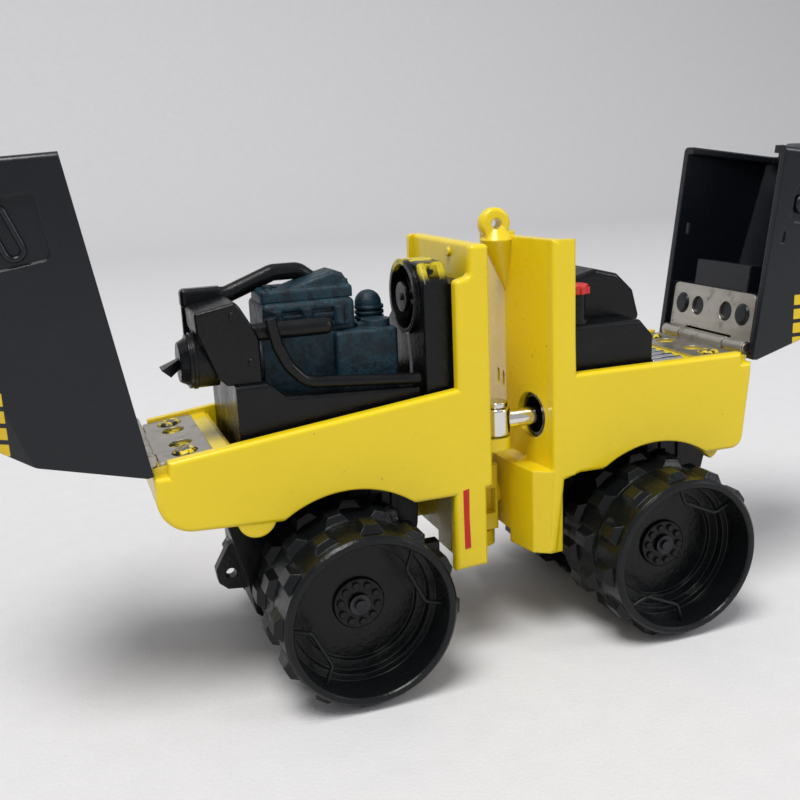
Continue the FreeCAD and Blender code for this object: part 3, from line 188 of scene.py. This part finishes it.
# ---------------------------------------------------------------- materials
def yellow_enamel():
    """Glossy yellow paint with thin edges, dark specks and rubbed grime under the hinge leaves."""
    look = Look("yellow_enamel_paint", coat=0.22, coat_roughness=0.08, specular=0.38)
    tone = look.mix(look.noise(90, 3), (0.74, 0.55, 0.006), (0.80, 0.605, 0.009))
    edge = look.edges(0.22 * MM, 0.05, 0.4)
    thin = look.math("MULTIPLY", edge, look.steps(look.noise(700, 4), 0.42, 0.6))
    tone = look.mix(look.math("MULTIPLY", thin, 0.35), tone, (0.80, 0.68, 0.12))
    specks = look.steps(look.noise(1500, 2, 0.6), 0.735, 0.76)
    tone = look.mix(look.math("MULTIPLY", specks, 0.7), tone, (0.10, 0.085, 0.03))
    rubbed = look.steps(look.noise(1100, 4, 0.65), 0.44, 0.52)
    for leaf in ("engine_hinge_body_leaf", "tank_hinge_body_leaf"):
        low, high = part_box(leaf)
        over = look.math("MULTIPLY", look.between(X, low.x, high.x), look.between(Y, low.y, high.y))
        over = look.math("MULTIPLY", over, look.steps(look.axis(Z), low.z, low.z + 0.1 * MM))
        tone = look.mix(look.math("MULTIPLY", over, rubbed), tone, (0.012, 0.012, 0.010))
    look.colour(tone)
    look.rough(look.spread(look.noise(300, 4), 0.24, 0.36))
    waves = look.math("ADD", look.noise(650, 2), look.math("MULTIPLY", look.noise(160, 2), 1.4))
    look.bump(waves, 0.06 * MM, 0.5, 0.30 * MM)
    return look.material


def moulded_black(name, base, worn, roughness, wear, grain, rounded=0.18 * MM, smear_above=None):
    """Satin black plastic, worn along its edges; yellow overspray lies above the height smear_above."""
    look = Look(name, specular=0.26)
    tone = look.mix(look.noise(160, 4), tuple(c * 0.8 for c in base), tuple(c * 1.25 for c in base))
    edge = look.edges(0.20 * MM, 0.03, 0.35)
    rub = look.math("MULTIPLY", edge, look.steps(look.noise(520, 5, 0.6), 0.38, 0.62))
    tone = look.mix(look.math("MULTIPLY", rub, wear), tone, worn)
    dust = look.steps(look.noise(2600, 3, 0.7), 0.66, 0.74)
    tone = look.mix(look.math("MULTIPLY", dust, 0.20), tone, (0.10, 0.10, 0.10))
    if smear_above:
        high = look.steps(look.axis(Z), smear_above, smear_above + 1.2 * MM)
        patches = look.steps(look.noise(330, 4, 0.6), 0.47, 0.54)
        tone = look.mix(look.math("MULTIPLY", high, patches), tone, (0.52, 0.42, 0.015))
    look.colour(tone)
    look.rough(look.spread(look.noise(420, 5), roughness - 0.08, roughness + 0.08))
    look.bump(look.noise(1900, 3, 0.6), grain, 0.6, rounded)
    return look.material


def hood_gloss(name, marks):
    """Gloss black with plain yellow blocks where marks gives (x0, x1, z0, z1) on the sides."""
    look = Look(name, coat=0.12, coat_roughness=0.12, specular=0.32)
    tone = look.mix(look.noise(60, 3), (0.0036, 0.0048, 0.0074), (0.0052, 0.0068, 0.0100))
    edge = look.edges(0.18 * MM, 0.05, 0.4)
    rub = look.math("MULTIPLY", edge, look.steps(look.noise(300, 5), 0.45, 0.65))
    tone = look.mix(look.math("MULTIPLY", rub, 0.25), tone, (0.04, 0.045, 0.052))
    for x0, x1, z0, z1 in marks:
        block = look.math("MULTIPLY", look.between(X, x0, x1), look.between(Z, z0, z1))
        tone = look.mix(look.math("MULTIPLY", block, look.outward()), tone, (0.72, 0.50, 0.010))
    look.colour(tone)
    look.rough(look.spread(look.noise(220, 5), 0.22, 0.32))
    waves = look.math("ADD", look.noise(500, 2), look.noise(110, 2))
    look.bump(waves, 0.04 * MM, 0.5, 0.30 * MM)
    return look.material


def engine_teal():
    """Dark teal plastic with a rough, speckled, cast surface."""
    look = Look("engine_teal_speckle", specular=0.34)
    blotch = look.steps(look.noise(900, 5, 0.65), 0.38, 0.62)
    tone = look.mix(blotch, (0.0022, 0.010, 0.016), (0.0055, 0.030, 0.045))
    light = look.steps(look.noise(2300, 3, 0.7), 0.60, 0.70)
    tone = look.mix(look.math("MULTIPLY", light, 0.55), tone, (0.012, 0.060, 0.085))
    dark = look.steps(look.noise(1400, 3, 0.6), 0.62, 0.72)
    tone = look.mix(look.math("MULTIPLY", dark, 0.7), tone, (0.004, 0.010, 0.014))
    look.colour(tone)
    look.rough(look.spread(look.noise(1200, 4), 0.34, 0.62))
    look.bump(look.noise(1300, 5, 0.65), 0.22 * MM, 0.8, 0.30 * MM)
    return look.material


def stamped_steel():
    """Stained hinge plate, brushed along y, with specks of grime."""
    look = Look("stamped_hinge_steel", roughness=0.34, metallic=1.0)
    brushed = look.noise(900, 4, 0.6, (1.0, 0.08, 1.0))
    tone = look.mix(brushed, (0.40, 0.375, 0.33), (0.60, 0.575, 0.52))
    stain = look.steps(look.noise(420, 5, 0.7), 0.54, 0.68)
    tone = look.mix(look.math("MULTIPLY", stain, 0.5), tone, (0.16, 0.145, 0.12))
    grime = look.steps(look.noise(1900, 3, 0.6), 0.66, 0.73)
    tone = look.mix(grime, tone, (0.02, 0.02, 0.018))
    look.colour(tone)
    look.rough(look.spread(look.noise(700, 4), 0.28, 0.46))
    look.bump(brushed, 0.03 * MM, 0.6, 0.12 * MM)
    return look.material


def plated(name, dark, bright, roughness):
    """Turned or plated metal between a dark and a bright tone."""
    look = Look(name, roughness=roughness, metallic=1.0)
    turned = look.noise(1200, 3, 0.6, (1.0, 1.0, 0.15))
    tone = look.mix(turned, dark, bright)
    grime = look.steps(look.noise(1500, 4, 0.6), 0.62, 0.75)
    tone = look.mix(look.math("MULTIPLY", grime, 0.5), tone, tuple(c * 0.35 for c in dark))
    look.colour(tone)
    look.rough(look.spread(look.noise(900, 3), roughness * 0.7, roughness * 1.4))
    look.bump(turned, 0.02 * MM, 0.5, 0.10 * MM)
    return look.material


def red_cap():
    look = Look("red_cap_plastic", coat=0.3)
    look.colour(look.mix(look.noise(400, 3), (0.50, 0.008, 0.006), (0.66, 0.016, 0.010)))
    look.rough(look.spread(look.noise(900, 3), 0.26, 0.40))
    look.bump(look.noise(1500, 3), 0.05 * MM, 0.5, 0.15 * MM)
    return look.material


def label_blocks(node, towards, inset, lift):
    """Plain blocks in a column on a raised hood's side, inset from the hinge pin's axis."""
    pin_low, pin_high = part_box(node + "_hinge_pin")
    start = (pin_low.x + pin_high.x) / 2.0 + towards * inset
    ends = sorted((start, start + towards * LABEL_LENGTH))
    base = (pin_low.z + pin_high.z) / 2.0 + lift
    rows = []
    for row in range(LABEL_ROWS):
        low = base + row * LABEL_PITCH
        rows.append((ends[0], ends[1], low, low + LABEL_BLOCK))
    return rows


ENGINE_BLACK = (0.0032, 0.0036, 0.0042)
ENGINE_WORN = (0.024, 0.025, 0.027)

LOOKS = {
    "yellow_enamel": yellow_enamel(),
    "chassis_black": moulded_black(
        "chassis_satin_black", (0.0036, 0.004, 0.0044), (0.03, 0.03, 0.03), 0.33, 0.5, 0.05 * MM),
    "drum_black": moulded_black(
        "drum_satin_black", (0.0040, 0.0048, 0.0052), (0.05, 0.052, 0.055), 0.24, 0.5, 0.07 * MM),
    "engine_black": moulded_black("engine_satin_black", ENGINE_BLACK, ENGINE_WORN, 0.29, 0.5, 0.06 * MM),
    "hood_black": hood_gloss("hood_gloss_black", ()),
    "engine_teal": engine_teal(),
    "hinge_steel": stamped_steel(),
    "screw_steel": plated("dull_zinc_screws", (0.20, 0.20, 0.20), (0.32, 0.32, 0.32), 0.42),
    "blackened_steel": plated("blackened_axle", (0.030, 0.030, 0.032), (0.06, 0.06, 0.064), 0.38),
    "pin_chrome": plated("bright_pins", (0.62, 0.60, 0.56), (0.80, 0.78, 0.74), 0.16),
    "rod_chrome": plated("bright_rod", (0.66, 0.64, 0.60), (0.84, 0.82, 0.78), 0.12),
    "barrel_dark": plated("oiled_barrel", (0.05, 0.05, 0.052), (0.10, 0.10, 0.10), 0.30),
    "dipstick_grey": moulded_black(
        "dipstick_grey", (0.08, 0.085, 0.09), (0.2, 0.2, 0.2), 0.45, 0.4, 0.04 * MM, 0.06 * MM),
    "cap_red": red_cap(),
    "cooler_silver": plated("bright_cooler", (0.55, 0.56, 0.57), (0.80, 0.80, 0.81), 0.20),
}
LOOKS["joint_yellow"] = LOOKS["yellow_enamel"]

SLOTS = {part["node"]: part["material_slot"] for part in frame["record"]["subparts"]}
for node, thing in NODES.items():
    thing.data.materials.clear()
    thing.data.materials.append(LOOKS[SLOTS[node]])

NODES["fan_shroud"].data.materials[0] = moulded_black(
    "shroud_black_oversprayed", ENGINE_BLACK, ENGINE_WORN, 0.29, 0.5, 0.06 * MM,
    smear_above=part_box("fan_shroud")[1].z - OVERSPRAY_DEPTH)
NODES["engine_hood"].data.materials[0] = hood_gloss(
    "engine_hood_labelled", label_blocks("engine", towards=-1, inset=12.9 * MM, lift=2.6 * MM))
NODES["tank_hood"].data.materials[0] = hood_gloss(
    "tank_hood_labelled", label_blocks("tank", towards=1, inset=5.7 * MM, lift=-0.2 * MM))


# ---------------------------------------------------------------- painted marks
def mark_paint(name, base):
    look = Look(name, specular=0.4)
    look.colour(look.mix(look.noise(500, 4), tuple(c * 0.8 for c in base), base))
    look.rough(look.spread(look.noise(900, 3), 0.30, 0.45))
    look.bump(look.noise(1400, 3), 0.03 * MM, 0.5)
    return look.material


def side_mark(name, body, outline, y, paint):
    """A printed patch just proud of a side face: outline is (x, z) in metres, y the face."""
    mesh = bmesh.new()
    inner = [mesh.verts.new((x, y, z)) for x, z in outline]
    outer = [mesh.verts.new((x, y + math.copysign(MARK_PROUD, y), z)) for x, z in outline]
    mesh.faces.new(inner)
    mesh.faces.new(list(reversed(outer)))
    for index in range(len(outline)):
        after = (index + 1) % len(outline)
        mesh.faces.new((inner[index], outer[index], outer[after], inner[after]))
    bmesh.ops.recalc_face_normals(mesh, faces=mesh.faces)
    data = bpy.data.meshes.new(name)
    mesh.to_mesh(data)
    mesh.free()
    data.materials.append(paint)
    patch = bpy.data.objects.new(name, data)
    bpy.context.scene.collection.objects.link(patch)
    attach(patch, body)


def painted_marks():
    """The red line down the engine half's drop plate."""
    red = mark_paint("red_stripe_paint", (0.55, 0.010, 0.008))
    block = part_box("joint_block")[0]
    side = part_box("engine_frame")[0].y
    left = block.x - STRIPE_FROM_BLOCK
    right = left + STRIPE_WIDTH
    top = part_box("engine_housing")[1].z - STRIPE_BELOW_HOUSING
    middle = top - STRIPE_LENGTH / 2.0
    foot = top - STRIPE_LENGTH
    stripe = [(left, top), (right, top + 0.15 * MM), (right - 0.05 * MM, middle + 0.1 * MM),
              (right + 0.05 * MM, foot), (left + 0.05 * MM, foot - 0.1 * MM), (left + 0.02 * MM, middle)]
    side_mark("red_stripe", "engine_half", stripe, side, red)


painted_marks()


# ---------------------------------------------------------------- stage
def stage_material():
    look = Look("pale_paper", roughness=0.8, specular=0.2)
    tone = look.mix(look.noise(260, 5), (0.60, 0.595, 0.60), (0.65, 0.645, 0.65))
    grain = look.steps(look.noise(3200, 3, 0.7), 0.60, 0.72)
    look.colour(look.mix(look.math("MULTIPLY", grain, 0.14), tone, (0.38, 0.38, 0.38)))
    look.bump(look.noise(2200, 4, 0.6), 0.12 * MM, 0.7)
    return look.material


def backdrop():
    """A floor that curves up into a wall behind the model."""
    steps = 16
    bend = 0.25
    front = -0.9
    back = 0.55
    wall_top = 1.6
    half_width = 1.6
    profile = [(front, 0.0), (back, 0.0)]
    for step in range(1, steps + 1):
        turn = math.pi / 2 * step / steps
        profile.append((back + bend * math.sin(turn), bend * (1 - math.cos(turn))))
    profile.append((back + bend, wall_top))
    mesh = bmesh.new()
    rows = [[mesh.verts.new((x, y, z)) for x in (-half_width, half_width)] for y, z in profile]
    for low, high in zip(rows, rows[1:]):
        mesh.faces.new((low[0], low[1], high[1], high[0]))
    data = bpy.data.meshes.new("paper_sweep")
    mesh.to_mesh(data)
    mesh.free()
    for face in data.polygons:
        face.use_smooth = True
    data.materials.append(stage_material())
    sweep = bpy.data.objects.new("paper_sweep", data)
    bpy.context.scene.collection.objects.link(sweep)


backdrop()


def area_light(name, place, target, size, power, tint):
    data = bpy.data.lights.new(name, "AREA")
    data.shape = "DISK"
    data.size = size
    data.energy = power
    data.color = tint
    lamp = bpy.data.objects.new(name, data)
    lamp.location = place
    lamp.rotation_mode = "QUATERNION"
    lamp.rotation_quaternion = (Vector(target) - Vector(place)).to_track_quat("-Z", "Y")
    bpy.context.scene.collection.objects.link(lamp)


area_light("key", place=(-0.30, -0.30, 1.05), target=(0, 0, 0.02), size=0.55, power=11.5,
           tint=(1.0, 0.99, 0.97))
area_light("fill", place=(0.45, -0.30, 0.30), target=(0, 0, 0.03), size=0.22, power=0.7,
           tint=(0.96, 0.98, 1.0))

world = bpy.data.worlds.new("soft_room")
world.use_nodes = True
background = next(n for n in world.node_tree.nodes if n.type == "BACKGROUND")
background.inputs["Color"].default_value = (0.93, 0.94, 1.0, 1.0)
background.inputs["Strength"].default_value = 0.50
bpy.context.scene.world = world
bpy.context.scene.view_settings.view_transform = "Standard"


# ---------------------------------------------------------------- camera
CAMERA_PLACE = (-0.048, -0.1091, 0.0585)
CAMERA_SENSOR = 36.0
CAMERA_LENS = 45.08


def camera():
    """The photo's view: turned to the tank half, looking down, and rolled a little."""
    yaw = math.radians(-19.4)
    pitch = math.radians(14.05)
    roll = math.radians(-2.5)
    ahead = Vector((-math.sin(yaw) * math.cos(pitch), math.cos(yaw) * math.cos(pitch), -math.sin(pitch)))
    right = ahead.cross(Vector((0, 0, 1))).normalized()
    up = right.cross(ahead)
    turned_right = right * math.cos(roll) + up * math.sin(roll)
    turned_up = up * math.cos(roll) - right * math.sin(roll)
    data = bpy.data.cameras.new("camera")
    data.sensor_width = CAMERA_SENSOR
    data.lens = CAMERA_LENS
    data.clip_start = 0.005
    data.clip_end = 10.0
    made = bpy.data.objects.new("camera", data)
    turn = Matrix((turned_right, turned_up, -ahead)).transposed()
    made.matrix_world = Matrix.Translation(CAMERA_PLACE) @ turn.to_4x4()
    bpy.context.scene.collection.objects.link(made)
    bpy.context.scene.camera = made


camera()

bpy.context.view_layer.update()
